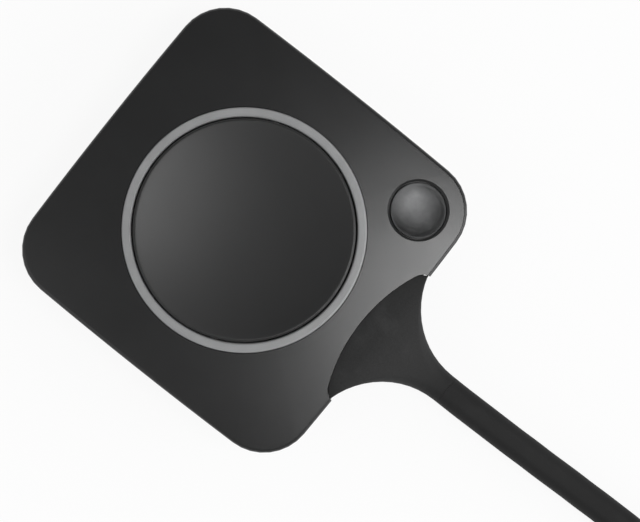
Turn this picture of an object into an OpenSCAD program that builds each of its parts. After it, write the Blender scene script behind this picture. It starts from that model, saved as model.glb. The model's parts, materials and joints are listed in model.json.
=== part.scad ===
// A square puck with a large dished push button in a light ring, and a short flat cable that ends
// in a type A plug. Millimetres, +Z up. The feet stand on Z = 0, the button travels along the
// Z axis, and the cable leaves along +X.

/* [Housing] */
// Width of the housing at its widest line, the same both ways
body_w = 59.3; // [58:0.1:70]
// Radius of the upright corners, seen from above
corner_r = 8.8; // [8.6:0.1:12]
// How far each side bulges past a straight line
side_bow = 0.45; // [0.2:0.05:1.2]
// Height of the line where the housing is widest
widest_z = 11; // [10.4:0.1:11.6]
// How far the underside draws in from the widest line
base_inset = 5; // [3.5:0.1:5.6]
// Height of the crown, the highest point of the top's shallow sphere
crown_z = 16.25; // [16:0.05:18]
// Radius of that sphere
crown_r = 360; // [300:10:600]
// Rounding of the top's outer edge
edge_r = 0.6; // [0.4:0.1:1.2]
// Height of the parting line between the two shells
parting_z = 8.2; // [7.6:0.1:8.6]
// Thickness of the side walls
wall = 1.8; // [1.5:0.1:2.1]
// Thickness of the top
top_wall = 1.8; // [1.5:0.1:2.1]
// Thickness of the floor
floor_t = 1.6; // [1.4:0.1:2]
// Height of the lip that locates the shells on each other
lip_h = 1; // [0.6:0.1:1.4]
// Thickness of that lip
lip_t = 0.8; // [0.6:0.1:1]

/* [Push button] */
// Gap between the button and the light ring
button_gap = 0.25; // [0.2:0.05:0.5]
// Height of the button's rim above the crown
button_proud = 0.05; // [0:0.05:0.8]
// Height of the button's skirt from rim to lower edge
button_h = 3.1; // [2.8:0.1:3.3]
// Depth of the dish in the button's top
dish_depth = 1.3; // [0.6:0.1:1.5]
// Flat width of the rim outside the dish
rim_w = 0.5; // [0.5:0.1:1.4]
// Rounding of the rim's outer edge
rim_edge_r = 0.35; // [0.2:0.05:0.5]
// Thickness of the cap at the middle of the dish
cap_t = 1.4; // [1.1:0.1:1.6]
// Thickness of the skirt
skirt_t = 1.6; // [1.2:0.1:2]
// Travel of the button when it is pressed
travel = 0.8; // [0.4:0.1:0.9]
// Radius of the post that presses the switch
post_r = 2.2; // [1.6:0.1:2.4]
// Radius of the guide pins
pin_r = 1.2; // [1:0.1:1.5]
// Distance of the guide pins from the button's edge
pin_inset = 5.9; // [5:0.1:7]
// Number of guide pins
pin_count = 4; // [3:1:6]
// How far the hook at a guide pin's end stands out past the pin
hook_w = 0.5; // [0.4:0.1:0.8]
// Height of that hook
hook_h = 1.2; // [0.8:0.1:1.4]

/* [Light ring] */
// Distance of the ring's outer edge from the housing's widest line
ring_inset = 8.85; // [8.4:0.05:9.2]
// Width of its visible band
ring_w = 1.65; // [1.4:0.05:1.7]
// Height of its top above the housing beside it
ring_proud = 0.15; // [0:0.05:0.4]
// Rounding of its upper edges
ring_edge_r = 0.35; // [0.1:0.05:0.6]
// How far its seating flange reaches outwards
flange_w = 1.2; // [0.8:0.1:1.4]
// Thickness of that flange
flange_t = 0.8; // [0.6:0.1:1]
// Number of light guides, with one LED under each
led_count = 8; // [4:4:8]
// Radius of a light guide
guide_r = 1.1; // [0.8:0.1:1.2]

/* [Button carrier] */
// Thickness of the carrier plate
carrier_t = 1.4; // [1.2:0.1:1.8]
// How far the plate reaches past the light ring
carrier_rim = 1.4; // [1.3:0.1:1.5]
// Radius of the ears that the carrier screws pass through
ear_r = 2.2; // [1.9:0.1:2.4]
// Distance of those screws from the light ring's outer edge
ear_gap = 3.8; // [3.6:0.1:4.2]
// Turn of those screws from the X axis
ear_angle = 72; // [66:1:76]
// Height of the stiffening rib under the plate
rib_h = 0.8; // [0.4:0.1:1]
// Thickness of ribs and gussets
rib_t = 1; // [0.8:0.1:1.2]

/* [Corner badge] */
// Radius of the metal disc
badge_r = 4.8; // [4:0.05:5]
// Thickness of the disc
badge_t = 0.8; // [0.6:0.1:1]
// Depth of the disc's rim below the housing
badge_sink = 0.5; // [0.3:0.05:0.6]
// Depth of the dish in the disc
badge_dish = 0.4; // [0.2:0.05:0.5]
// Width of the sloping rim round the disc
badge_rim = 0.55; // [0.4:0.05:0.8]
// Distance of its centre from the two sides next to it
badge_inset = 8.65; // [8.4:0.05:9]

/* [Cable boot] */
// Width of the lens-shaped pad
pad_w = 26.8; // [24:0.2:28]
// How far the pad reaches into the housing
pad_depth = 4.45; // [4:0.05:4.8]
// Radius of the pad's long inner edge
pad_r = 30; // [26:1:40]
// Rounding of the pad's two ends
pad_end_r = 2.6; // [1.5:0.1:3.5]
// Height of the pad's top above the table
pad_top_z = 13.4; // [12.6:0.1:13.8]
// Height of the pad's underside
pad_low_z = 5.4; // [5:0.1:5.6]
// Radius of the boot's two flared sides, seen from above
flare_r = 14.6; // [13.5:0.1:17]
// Length of the straight end where the cable comes out
boot_end = 0.6; // [0.4:0.1:3]
// Thickness of the collar that the housing has round the pad
collar_t = 1.2; // [1:0.1:1.4]
// Radius of the two dowels that hold the pad
dowel_r = 1.1; // [0.8:0.1:1.3]

/* [Cable] */
// Width of the flat-oval cable
cable_w = 5.25; // [4.6:0.05:5.6]
// Thickness of the cable
cable_t = 4; // [3.6:0.1:4.2]
// Height of the cable's middle where it leaves the boot
cable_z = 7.8; // [7.6:0.1:8]
// Thickness of the strap that clamps the cable's end
strap_t = 0.6; // [0.4:0.1:0.6]
// Width of that strap
strap_w = 2.5; // [2:0.1:2.6]

/* [Plug] */
// Width of the moulded grip
grip_w = 15; // [14:0.1:17]
// Thickness of the grip
grip_t = 8.5; // [7.6:0.1:9]
// Length of the grip
grip_len = 25; // [20:0.5:32]
// Length of the grip's tapered end
grip_taper = 8; // [5:0.5:10]
// Width of the metal shell
shell_w = 12; // [12:0.1:12.2]
// Thickness of the metal shell
shell_t = 4.5; // [4.5:0.1:4.6]
// How far the shell stands out of the grip
shell_len = 18.7; // [18:0.05:18.75]
// Sheet thickness of the shell
sheet_t = 0.3; // [0.25:0.05:0.4]
// Side of the square windows in the shell
window_w = 2.4; // [2:0.1:2.6]
// Thickness of the tongue that carries the contacts
tongue_t = 1.9; // [1.6:0.1:2]

/* [Board and switch] */
// Distance of the circuit board's edge from the housing's widest line
board_inset = 4.65; // [4.4:0.05:5.4]
// Thickness of the board
board_t = 1; // [0.8:0.1:1.2]
// Height of the standoffs under it
standoff_h = 2; // [1.8:0.1:2.4]
// Width of the switch, the same both ways
switch_w = 6.2; // [6:0.1:7]
// Height of the switch up to its metal cover
switch_h = 3.5; // [3.2:0.1:3.8]
// Thickness of the metal cover
cover_t = 0.3; // [0.2:0.05:0.4]
// Radius of the plunger where it comes out of the cover
plunger_r = 1.75; // [1.4:0.05:1.8]
// How far the plunger stands out of the cover
plunger_proud = 1.2; // [1:0.1:1.3]
// Height of the snap dome
dome_h = 1.1; // [1:0.05:1.3]
// Room beside the processor in its shield can
can_side = 2.2; // [1.6:0.1:2.4]
// Room between the chips and the can's two ends
can_end = 0.8; // [0.6:0.1:1.2]
// Gap between the processor and the memory
chip_gap = 1.9; // [1:0.1:2.4]
// Height of the shield can
shield_h = 2.2; // [2:0.1:2.6]
// Width of the processor, the same both ways
processor_w = 8; // [7:0.1:9]
// Height of the processor and the memory
chip_h = 1; // [0.8:0.05:1.2]
// Length of the radio module along X
radio_x = 12; // [10:0.1:13]
// Width of the radio module along Y
radio_y = 8; // [7:0.1:8.4]
// Height of the radio module
radio_h = 2; // [1.6:0.1:2.4]
// Length of an antenna
antenna_len = 9; // [7:0.1:9.5]
// Height of an antenna
antenna_h = 3; // [2:0.1:3.4]
// Length of the cable's connector along Y
header_len = 8.5; // [7.5:0.1:9]
// Height of that connector
header_h = 3; // [2.6:0.1:3.2]
// Height of an LED
led_h = 0.7; // [0.5:0.05:0.9]

/* [Fasteners and feet] */
// How far the feet stand out of the underside
foot_proud = 0.6; // [0.4:0.1:0.9]
// How deep the feet sit in the underside
foot_sink = 0.6; // [0.4:0.1:0.8]
// Radius of a foot
foot_r = 3.8; // [3:0.1:4]
// Distance of the case screws from the housing's widest line
case_inset = 10.35; // [10.15:0.05:10.75]
// Shank radius of a case screw
case_screw_r = 0.95; // [0.8:0.05:1]
// Head radius of a case screw
case_head_r = 1.8; // [1.6:0.1:1.9]
// Head height of a case screw
case_head_h = 1.3; // [1:0.1:1.5]
// Shank radius of the small screws
small_screw_r = 0.75; // [0.6:0.05:0.8]
// Head radius of the small screws
small_head_r = 1.4; // [1.2:0.1:1.5]
// Head height of the small screws
small_head_h = 0.9; // [0.7:0.1:1]
// Wall of a screw boss round its hole
boss_wall = 1.6; // [1.2:0.1:1.7]

/* [Hidden] */

// Roundness of drawn circles; dish_fn serves the very large circles of the dishes
$fn = 64;
dish_fn = 720;

// How far cuts run past the surface that they open
overrun = 1;
// Gap between fixed pieces that fit together
fit_gap = 0.1;
// Gap between a moving piece and what guides it
slide_gap = 0.12;
// Gap between a screw's shank and its hole
screw_gap = 0.05;
// Room left under the pressed button
press_gap = 0.4;
// Overlap that joins two solids of one piece
weld = 0.3;

function mix(a, b, s) = a + (b - a) * s;
function smooth(s) = s * s * (3 - 2 * s);

// Steps in the housing's surfaces: along half a side, round a corner, down the side, over the edge
side_steps = 4;
corner_steps = 8;
base_steps = 8;
edge_steps = 5;
top_steps = 4;

// The housing's outline: flat side arcs and corner arcs that share their tangents
half_w = body_w / 2;
ring_r = half_w - ring_inset;
button_r = ring_r - ring_w - button_gap;
pin_place_r = button_r - pin_inset;
ear_place_r = ring_r + ear_gap;
case_place = half_w - case_inset;
board_w = body_w - 2 * board_inset;
base_z = foot_proud;
floor_z = base_z + floor_t;
side_r = half_w * half_w / (2 * side_bow);
side_turn = acos((side_r - half_w) / (sqrt(2) * (side_r - corner_r))) - 45;
corner_place = half_w - side_r + (side_r - corner_r) * cos(side_turn);
parting_turn = asin((widest_z - parting_z) / (widest_z - base_z));
parting_inset = base_inset * (1 - cos(parting_turn));
lip_inset = parting_inset + wall - lip_t;
lip_top = parting_z + lip_h;
step_z = lip_top + fit_gap;

function quarter(d) = concat(
    [for (i = [0 : side_steps - 1]) let (a = side_turn * i / side_steps)
        [half_w - side_r + (side_r - d) * cos(a), (side_r - d) * sin(a)]],
    [for (i = [0 : corner_steps]) let (a = side_turn + (90 - 2 * side_turn) * i / corner_steps)
        [corner_place + (corner_r - d) * cos(a), corner_place + (corner_r - d) * sin(a)]],
    [for (i = [1 : side_steps - 1]) let (a = 90 - side_turn + side_turn * i / side_steps)
        [(side_r - d) * cos(a), half_w - side_r + (side_r - d) * sin(a)]]);
function turned(p, a) = [p.x * cos(a) - p.y * sin(a), p.x * sin(a) + p.y * cos(a)];
// Outline of the housing drawn in by d
function outline(d) = [for (q = [0 : 3]) for (p = quarter(d)) turned(p, 90 * q)];

// Height of the crown at distance r from the button's axis
function crown_at(r) = crown_z - crown_r + sqrt(crown_r * crown_r - r * r);
function flat_ring(points, z) = [for (p = points) [p.x, p.y, z]];
// A ring of the curved side: a is 0 at the widest line and 90 at the underside
function side_ring(a, d, low_z) =
    flat_ring(outline(d + base_inset * (1 - cos(a))), widest_z - (widest_z - low_z) * sin(a));
// A ring that follows the crown, lowered by drop
function crown_ring(points, drop) = [for (p = points) [p.x, p.y, crown_at(norm(p)) - drop]];
// A ring over the top edge: b is 0 at the side and 90 on top
function edge_ring(b, d, r, drop) = crown_ring(outline(d + r * (1 - cos(b))), drop + r * (1 - sin(b)));
// A ring on the top, between the outline and a circle of radius r
function top_ring(s, d, r, drop) =
    crown_ring([for (p = outline(d)) (1 - s) * p + s * r * p / norm(p)], drop);

// Heights and radii that the pieces share
button_rim_z = crown_z + button_proud;
dish_r = button_r - rim_w;
dish_sphere_r = (dish_r * dish_r + dish_depth * dish_depth) / (2 * dish_depth);
skirt_z = button_rim_z - button_h;
cap_z = button_rim_z - dish_depth - cap_t;
carrier_top = skirt_z - travel - press_gap;
carrier_z = carrier_top - carrier_t;
carrier_r = ring_r + carrier_rim;
ring_mid_r = ring_r - ring_w / 2;
ring_top_z = crown_at(ring_r) + ring_proud;
well_r = ring_r + fit_gap;
board_z = floor_z + standoff_h;
board_top = board_z + board_t;
switch_top = board_top + switch_h;
plunger_top = switch_top + cover_t + plunger_proud;
small_hole_r = small_screw_r + screw_gap;
led_step = 360 / led_count;

// Places of repeated pieces
corner_signs = [[1, 1], [-1, 1], [-1, -1], [1, -1]];
case_places = case_place * corner_signs;
case_boss_r = case_screw_r + screw_gap + boss_wall;
case_seat_z = base_z + foot_sink + case_head_h;
case_pilot_z = crown_at(norm(case_places[0])) - top_wall - badge_t;
ear_places = [for (s = corner_signs)
    ear_place_r * [s.x * cos(ear_angle), s.y * sin(ear_angle)]];
ear_pilot_z = crown_at(ear_place_r) - top_wall / 2;
board_screw_shares = [0.88, 0.5];
board_screw_places = [for (s = corner_signs) board_w / 2 *
    [s.x * board_screw_shares[0], s.y * board_screw_shares[1]]];
standoff_r = small_hole_r + boss_wall * 0.8;
standoff_pilot_z = base_z + floor_t / 2;

// The boot: lens-shaped pad, then two flared sides that run into the cable
tip_inset = 0.45;
pad_x = half_w - pad_depth;
pad_half = pad_w / 2;
tip_x = half_w - tip_inset;
flare_y = cable_w / 2 + flare_r;
flare_reach = sqrt(flare_r * flare_r - pow(flare_y - pad_half, 2));
flare_x = tip_x + flare_reach;
flare_steps = 12;
boot_x = flare_x + boot_end;
pad_edge_r = 0.6;
pad_steps = 8;
pocket_z = pad_low_z - fit_gap;
shelf_share = 0.55;
shelf_x = half_w - shelf_share * base_inset;
dowel_shares = [0.44, 0.27, 0.6];
dowel_x = half_w - dowel_shares[0] * pad_depth;
dowel_y = dowel_shares[1] * pad_w;
dowel_top = pad_low_z + dowel_shares[2] * (pad_top_z - pad_low_z);

// Outline of the pad grown by g, open side at x_end
pad_fillet_y = pad_half - pad_end_r;
pad_fillet_turn = asin(pad_fillet_y / (pad_r - pad_end_r));
pad_fillet_x = pad_x + pad_r - (pad_r - pad_end_r) * cos(pad_fillet_turn);
function pad_turn(g, x_end) =
    x_end < pad_fillet_x ? acos((pad_fillet_x - x_end) / (pad_end_r + g)) : 90;
function pad_side(g, turn) = concat(
    [for (i = [0 : pad_steps]) let (a = pad_fillet_turn * i / pad_steps)
        [pad_x + pad_r - (pad_r + g) * cos(a), (pad_r + g) * sin(a)]],
    [for (i = [1 : pad_steps]) let (a = mix(pad_fillet_turn, turn, i / pad_steps))
        [pad_fillet_x - (pad_end_r + g) * cos(a), pad_fillet_y + (pad_end_r + g) * sin(a)]]);
function pad_outline(g, x_end) = let (side = pad_side(g, pad_turn(g, x_end))) concat(side,
    x_end > pad_fillet_x ? [[x_end, pad_half + g], [x_end, -pad_half - g]] : [],
    [for (i = [len(side) - 1 : -1 : 1]) [side[i].x, -side[i].y]]);

// The strap over the cable's end, and the wires from there to their connector
strap_gap = 0.35;
strap_x = pad_x - fit_gap - collar_t - strap_gap - strap_w / 2;
strap_boss_r = small_hole_r + boss_wall / 2;
strap_ear_z = cable_z - strap_t;
strap_y = cable_w / 2 + strap_t + fit_gap + strap_boss_r + strap_gap;
stub_x = strap_x - strap_w / 2 - strap_gap;
notch_x = strap_x - strap_boss_r - strap_gap;
notch_y = strap_y + strap_boss_r + strap_gap;
header_share = 0.46;
header_w = header_len / 2;
header_x = header_share * board_w / 2;
wire_r = 0.4;
wire_shares = [-0.375, -0.125, 0.125, 0.375];
wire_z = board_top + header_h / 2;
wire_steps = 6;

// The cable's route from the end of the boot, each point chosen by hand
cable_route = [[0, 0, 0], [3, 0, -0.05], [6, 0.05, -0.25], [9, 0.1, -0.55], [12, 0.15, -0.9],
    [15, 0.2, -1.3], [18, 0.3, -1.7], [21, 0.35, -2.1], [24, 0.45, -2.45], [27, 0.55, -2.75],
    [30, 0.6, -3], [33, 0.7, -3.2], [36, 0.75, -3.35], [39, 0.8, -3.45], [42, 0.8, -3.5],
    [45.6, 0.8, -3.55]];
cable_sides = 12;

// The plug, at the end of the cable
plug_start = [boot_x, 0, cable_z] + cable_route[len(cable_route) - 1];
grip_corner_r = 2.4;
grip_edge_r = 0.9;
grip_steps = 6;
neck_wall = 0.9;
shell_seat = 3;
shell_corner_r = 0.7;
window_shares = [0.26, 0.34];
block_len = 4;
tongue_back = 1.2;
contact_w = 1;
contact_t = 0.2;
contact_shares = [-0.307, -0.088, 0.088, 0.307];
contact_backs = [0.6, 1.6, 1.6, 0.6];

// The board's corners are cut out round the case screws
board_notch = case_place - case_boss_r - 2 * strap_gap;
board_corner = board_w / 2 - board_notch;

// The switch: cavity, dome and plunger
switch_floor = 0.8;
cavity_r = 2.2;
dome_r = 2;
dome_t = 0.15;
dome_z = board_top + switch_floor;
plunger_foot_z = dome_z + dome_h + 0.4 * slide_gap;
lead_w = 0.6;
lead_reach = 1.4;

// The shield can and its chips
can_t = 0.2;
frame_h = 1;
memory_l = 8;
memory_w = 4.5;
shield_x = processor_w + 2 * can_side;
shield_y = processor_w + chip_gap + memory_w + 2 * can_end;
can_gap = 0.3;
shield_place = [-(switch_w + shield_x) / 2 - lead_reach - can_gap, 0];
processor_place = shield_place + [0, can_end + (processor_w - shield_y) / 2];
memory_place = shield_place + [0, (shield_y - memory_w) / 2 - can_end];
vent_r = 0.5;
vent_step = 2.4;

// Other parts on the board, at shares of half its width
radio_shares = [0, 0.52];
radio_base_t = 0.8;
antenna_shares = [-0.42, 0.936];
antenna_w = 2;
antenna_sheet = 0.3;
crystal_shares = [-0.4, -0.52];
crystal_size = [3.2, 2.5, 0.8];
led_size = [1.2, 2];
chip_size = [1.6, 0.8, 0.8];
chip_shares = [[0.4, -0.5], [0.48, -0.5], [0.56, -0.5], [0.16, -0.32], [0.16, -0.4],
    [0.16, -0.48], [-0.12, -0.5], [-0.12, -0.58], [0.42, 0.52], [0.5, 0.52], [0.58, 0.52],
    [-0.87, 0.16], [-0.87, 0], [-0.87, -0.16], [0, -0.88], [0.12, -0.88], [-0.12, -0.88]];
coil_size = [3, 3, 1.5];
coil_shares = [[0.06, -0.7], [0.59, 0.39], [0.59, -0.39]];

shell_colour = [0.17, 0.17, 0.18];
base_colour = [0.2, 0.2, 0.21];
button_colour = [0.24, 0.24, 0.25];
rubber_colour = [0.14, 0.14, 0.15];
metal_colour = [0.68, 0.69, 0.7];
steel_colour = [0.55, 0.56, 0.58];
clear_colour = [0.85, 0.86, 0.88];
plate_colour = [0.32, 0.33, 0.35];
board_colour = [0.05, 0.28, 0.16];
chip_colour = [0.08, 0.08, 0.09];
gold_colour = [0.83, 0.66, 0.28];
white_colour = [0.9, 0.9, 0.88];

// Solid through a list of rings of equal length, each counterclockwise from its far side, with
// flat ends; or closed, with its last ring joined to its first
module loft(rings, closed = false) {
    n = len(rings[0]);
    m = len(rings);
    ends = [[for (j = [0 : n - 1]) j], [for (j = [n - 1 : -1 : 0]) (m - 1) * n + j]];
    steps = closed ? m : m - 1;
    polyhedron(
        points = [for (ring = rings) for (p = ring) p],
        faces = concat(closed ? [] : ends,
            [for (i = [0 : steps - 1]) for (j = [0 : n - 1])
                [i * n + j, (i + 1) % m * n + j, (i + 1) % m * n + (j + 1) % n]],
            [for (i = [0 : steps - 1]) for (j = [0 : n - 1])
                [i * n + j, (i + 1) % m * n + (j + 1) % n, i * n + (j + 1) % n]]));
}

// Upright cylinder between two heights
module post(r, z0, z1) {
    translate([0, 0, z0]) cylinder(r = r, h = z1 - z0);
}

// Upright prism of a list of points between two heights
module prism(points, z0, z1) {
    translate([0, 0, z0]) linear_extrude(z1 - z0) polygon(points);
}

// Box by its middle on the ground plane, its size and its foot's height
module block(place, size, z) {
    translate([place.x - size.x / 2, place.y - size.y / 2, z]) cube(size);
}

// Half profile of a disc whose upper edge is rounded
module disc_profile(r, h, e) {
    square([r, h - e]);
    square([r - e, h]);
    translate([r - e, h - e]) circle(e);
}

// Places its children on the crown's surface, square to it
module on_crown(place) {
    r = norm(place);
    translate([place.x, place.y, crown_at(r)])
        rotate(a = asin(r / crown_r), v = [-place.y, place.x, 0]) children();
}

// Flat oval of the cable's section, grown by g
module oval(g) {
    side = (cable_w - cable_t) / 2;
    square([2 * side, cable_t + 2 * g], center = true);
    for (s = [-1, 1]) translate([s * side, 0]) circle(cable_t / 2 + g);
}

// Bar of a section drawn in the Y-Z plane, between two places along X
module along_x(x0, x1) {
    translate([x0, 0, 0]) rotate([90, 0, 90]) linear_extrude(x1 - x0) children();
}

// Rounded rectangle, drawn flat, with true arcs at its corners
module rounded_plate(w, h, r) {
    square([w - 2 * r, h], center = true);
    square([w, h - 2 * r], center = true);
    for (s = corner_signs) translate([s.x * (w / 2 - r), s.y * (h / 2 - r)]) circle(r);
}

// Ring of a rounded rectangle in the Y-Z plane
section_steps = 4;
function section(x, y, z, half_y, half_z, r) = [for (q = [0 : 3]) for (i = [0 : section_steps])
    let (a = 90 * q + 90 * i / section_steps, s = corner_signs[q])
        [x, y + s.x * (half_y - r) + r * cos(a), z + s.y * (half_z - r) + r * sin(a)]];

// Screw with its head's underside at the origin and its shank upwards
module screw(head_r, head_h, shank_r, shank_len) {
    difference() {
        union() {
            cylinder(r = shank_r, h = shank_len);
            translate([0, 0, -head_h]) cylinder(r = head_r, h = head_h);
        }
        translate([0, 0, -head_h - overrun])
            cylinder(r = head_r / 2, h = overrun + head_h / 2, $fn = 6);
    }
}

// Walls of the top: up the side, over the rounded edge, across the crown to a circle inside the
// button's well, then back under the ceiling and down to the step for the lip
module top_form() {
    loft(concat(
        [for (i = [0 : 2]) side_ring(parting_turn * (1 - i / 2), 0, base_z)],
        [for (i = [0 : edge_steps]) edge_ring(90 * i / edge_steps, 0, edge_r, 0)],
        [for (i = [1 : top_steps]) top_ring(i / top_steps, edge_r, well_r - overrun, 0)],
        [top_ring(1, wall + edge_r, well_r - overrun, top_wall)],
        [for (b = [90, 45, 0]) edge_ring(b, wall, edge_r, top_wall)],
        [flat_ring(outline(wall), widest_z)],
        [flat_ring(outline(parting_inset + wall), step_z)],
        [flat_ring(outline(lip_inset - fit_gap), step_z)],
        [flat_ring(outline(lip_inset - fit_gap), parting_z)]), closed = true);
}

module top_shell() {
    collar_r = well_r + collar_t;
    collar_z = carrier_top + flange_t + fit_gap;
    pad_collar_z = crown_at(norm([half_w - wall / 2, pad_half])) - top_wall / 2;
    badge_place = [half_w - badge_inset, half_w - badge_inset];
    badge_floor = badge_sink + badge_t;
    badge_slope = (badge_rim - fit_gap) / badge_sink;
    color(shell_colour) difference() {
        union() {
            top_form();
            // Collar that holds the light ring's flange down
            post(collar_r, collar_z, crown_at(collar_r) - top_wall / 2);
            // Bosses for the case screws and the carrier screws
            for (p = case_places) translate(p)
                post(case_boss_r, step_z, crown_at(norm(p)) - top_wall / 2);
            for (p = ear_places) translate(p)
                post(standoff_r, carrier_top, ear_pilot_z);
            // Thick place under the badge
            on_crown(badge_place) post(badge_r + badge_rim, -badge_floor - badge_t, -top_wall / 2);
            // Wall round the boot's pad
            prism(pad_outline(fit_gap + collar_t, half_w - wall / 2), step_z, pad_collar_z);
        }
        // The button's well
        post(well_r, parting_z - overrun, crown_z + overrun);
        // Lens-shaped notch for the boot's pad, and the passage of the cable's end
        prism(pad_outline(fit_gap, half_w + overrun), parting_z - overrun, crown_z + overrun);
        along_x(stub_x, pad_x + overrun) translate([0, cable_z]) oval(fit_gap);
        // Seat of the badge, with a sloping rim
        on_crown(badge_place) {
            post(badge_r + fit_gap, -badge_floor, overrun);
            translate([0, 0, -badge_sink]) cylinder(h = badge_sink + overrun,
                r1 = badge_r + fit_gap, r2 = badge_r + badge_rim + overrun * badge_slope);
        }
        // Holes that the screws cut their threads in
        for (p = case_places) translate(p)
            post(case_screw_r + screw_gap, parting_z - overrun, case_pilot_z);
        for (p = ear_places) translate(p)
            post(small_hole_r, carrier_top - overrun, ear_pilot_z - overrun / 2);
    }
}

// Walls of the bottom: up the curved side, over the lip and down inside to the floor
module bottom_form() {
    inner_turn = asin((widest_z - parting_z) / (widest_z - floor_z));
    loft(concat(
        [for (i = [0 : base_steps]) side_ring(mix(90, parting_turn, i / base_steps), 0, base_z)],
        [flat_ring(outline(lip_inset), parting_z)],
        [flat_ring(outline(lip_inset), lip_top)],
        [flat_ring(outline(parting_inset + wall), lip_top)],
        [for (i = [0 : base_steps]) side_ring(mix(inner_turn, 90, i / base_steps), wall, floor_z)]));
}

module bottom_shell() {
    gusset_x = shelf_x - wall / 2 - case_place;
    color(base_colour) {
        difference() {
            union() {
                bottom_form();
                // Shelf under the boot's pad, and the wall round it
                prism(pad_outline(fit_gap + collar_t, shelf_x), floor_z - weld, lip_top);
                // Case screw bosses, each tied to the two walls beside it
                for (s = corner_signs) translate(case_place * s) {
                    post(case_boss_r, floor_z - weld, lip_top);
                    translate([min(0, s.x * gusset_x), -rib_t / 2, floor_z - weld])
                        cube([gusset_x, rib_t, board_z - floor_z]);
                    translate([-rib_t / 2, min(0, s.y * gusset_x), floor_z - weld])
                        cube([rib_t, gusset_x, board_z - floor_z]);
                }
                // Standoffs of the board, and the strap's bosses
                for (p = board_screw_places) translate(p) post(standoff_r, floor_z - weld, board_z);
                for (s = [-1, 1]) translate([strap_x, s * strap_y])
                    post(strap_boss_r, floor_z - weld, strap_ear_z);
            }
            // Pocket for the boot's pad, and the passage of the cable's end
            prism(pad_outline(fit_gap, half_w + overrun), pocket_z, lip_top + overrun);
            along_x(stub_x, pad_x + overrun) translate([0, cable_z]) oval(fit_gap);
            for (p = case_places) translate(p) {
                post(foot_r + fit_gap, base_z - overrun, base_z + foot_sink);
                post(case_head_r + fit_gap, base_z, case_seat_z);
                post(case_screw_r + fit_gap, base_z, lip_top + overrun);
            }
            for (p = board_screw_places) translate(p)
                post(small_hole_r, standoff_pilot_z, board_z + overrun);
            for (s = [-1, 1]) translate([strap_x, s * strap_y])
                post(small_hole_r, standoff_pilot_z, strap_ear_z + overrun);
        }
        // Dowels that hold the boot's pad
        for (s = [-1, 1]) translate([dowel_x, s * dowel_y])
            post(dowel_r, pocket_z - weld, dowel_top);
    }
}

module light_ring() {
    color(clear_colour) {
        rotate_extrude() {
            translate([ring_r - ring_w, 0]) {
                translate([ring_edge_r, 0]) square_between(ring_w - 2 * ring_edge_r, ring_top_z);
                square_between(ring_w, ring_top_z - ring_edge_r);
                for (x = [ring_edge_r, ring_w - ring_edge_r])
                    translate([x, ring_top_z - ring_edge_r]) circle(ring_edge_r);
            }
            translate([ring_r - ring_w, carrier_top]) square([ring_w + flange_w, flange_t]);
        }
        // Light guides down to the LEDs
        for (i = [0 : led_count - 1]) rotate((i + 0.5) * led_step) translate([ring_mid_r, 0])
            post(guide_r, board_top + led_h + press_gap, carrier_top + weld);
    }
}

// Flat rectangle from the carrier's top up to a height
module square_between(w, z1) {
    translate([0, carrier_top]) square([w, z1 - carrier_top]);
}

module button_carrier() {
    sleeve_r = pin_r + slide_gap + rib_t;
    rib_r = pin_place_r + sleeve_r + rib_t / 2;
    rib_z = carrier_z - rib_h;
    color(plate_colour) difference() {
        union() {
            post(carrier_r, carrier_z, carrier_top);
            for (p = ear_places) {
                translate(p) post(ear_r, carrier_z, carrier_top);
                rotate(atan2(p.y, p.x)) translate([ring_r, weld - ear_r, carrier_z])
                    cube([ear_place_r - ring_r, 2 * (ear_r - weld), carrier_t]);
            }
            // Guide sleeves, and ribs that tie them together
            difference() {
                post(rib_r, rib_z, carrier_top);
                post(rib_r - rib_t, rib_z - overrun, carrier_z);
            }
            for (i = [0 : pin_count - 1]) rotate((i + 0.5) * 360 / pin_count) {
                translate([pin_place_r, 0]) post(sleeve_r, rib_z, carrier_top);
                translate([0, -rib_t / 2, rib_z]) cube([pin_place_r, rib_t, rib_h + weld]);
            }
            post(post_r + press_gap + rib_t, rib_z, carrier_top);
        }
        post(post_r + press_gap, rib_z - overrun, carrier_top + overrun);
        for (i = [0 : pin_count - 1]) rotate((i + 0.5) * 360 / pin_count)
            translate([pin_place_r, 0]) post(pin_r + slide_gap, rib_z - overrun, carrier_top + overrun);
        for (i = [0 : led_count - 1]) rotate((i + 0.5) * led_step)
            translate([ring_mid_r, 0]) post(guide_r + fit_gap, rib_z - overrun, carrier_top + overrun);
        for (p = ear_places) translate(p)
            post(small_screw_r + fit_gap, carrier_z - overrun, carrier_top + overrun);
    }
}

module carrier_screws() {
    color(steel_colour) for (p = ear_places) translate([p.x, p.y, carrier_z])
        screw(small_head_r, small_head_h, small_screw_r, ear_pilot_z - overrun - carrier_z);
}

module push_button() {
    hook_top = carrier_z - rib_h - slide_gap;
    slit_w = pin_r / 2;
    color(button_colour) {
        rotate_extrude() difference() {
            translate([0, skirt_z]) disc_profile(button_r, button_h, rim_edge_r);
            translate([0, button_rim_z - dish_depth + dish_sphere_r])
                circle(dish_sphere_r, $fn = dish_fn);
            translate([0, skirt_z - overrun])
                square([button_r - skirt_t, cap_z - skirt_z + overrun]);
        }
        // Post that presses the switch
        post(post_r, plunger_top + screw_gap, cap_z + weld);
        // Guide pins with split snap hooks, which keep the button in its carrier
        for (i = [0 : pin_count - 1]) rotate((i + 0.5) * 360 / pin_count)
            translate([pin_place_r, 0]) difference() {
                union() {
                    post(pin_r, hook_top - hook_h, cap_z + weld);
                    translate([0, 0, hook_top - hook_h])
                        cylinder(h = hook_h, r1 = pin_r, r2 = pin_r + hook_w);
                }
                translate([-pin_r - overrun, -slit_w / 2, hook_top - hook_h - overrun])
                    cube([2 * (pin_r + overrun), slit_w, overrun + 2 * hook_h]);
            }
    }
}

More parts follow.
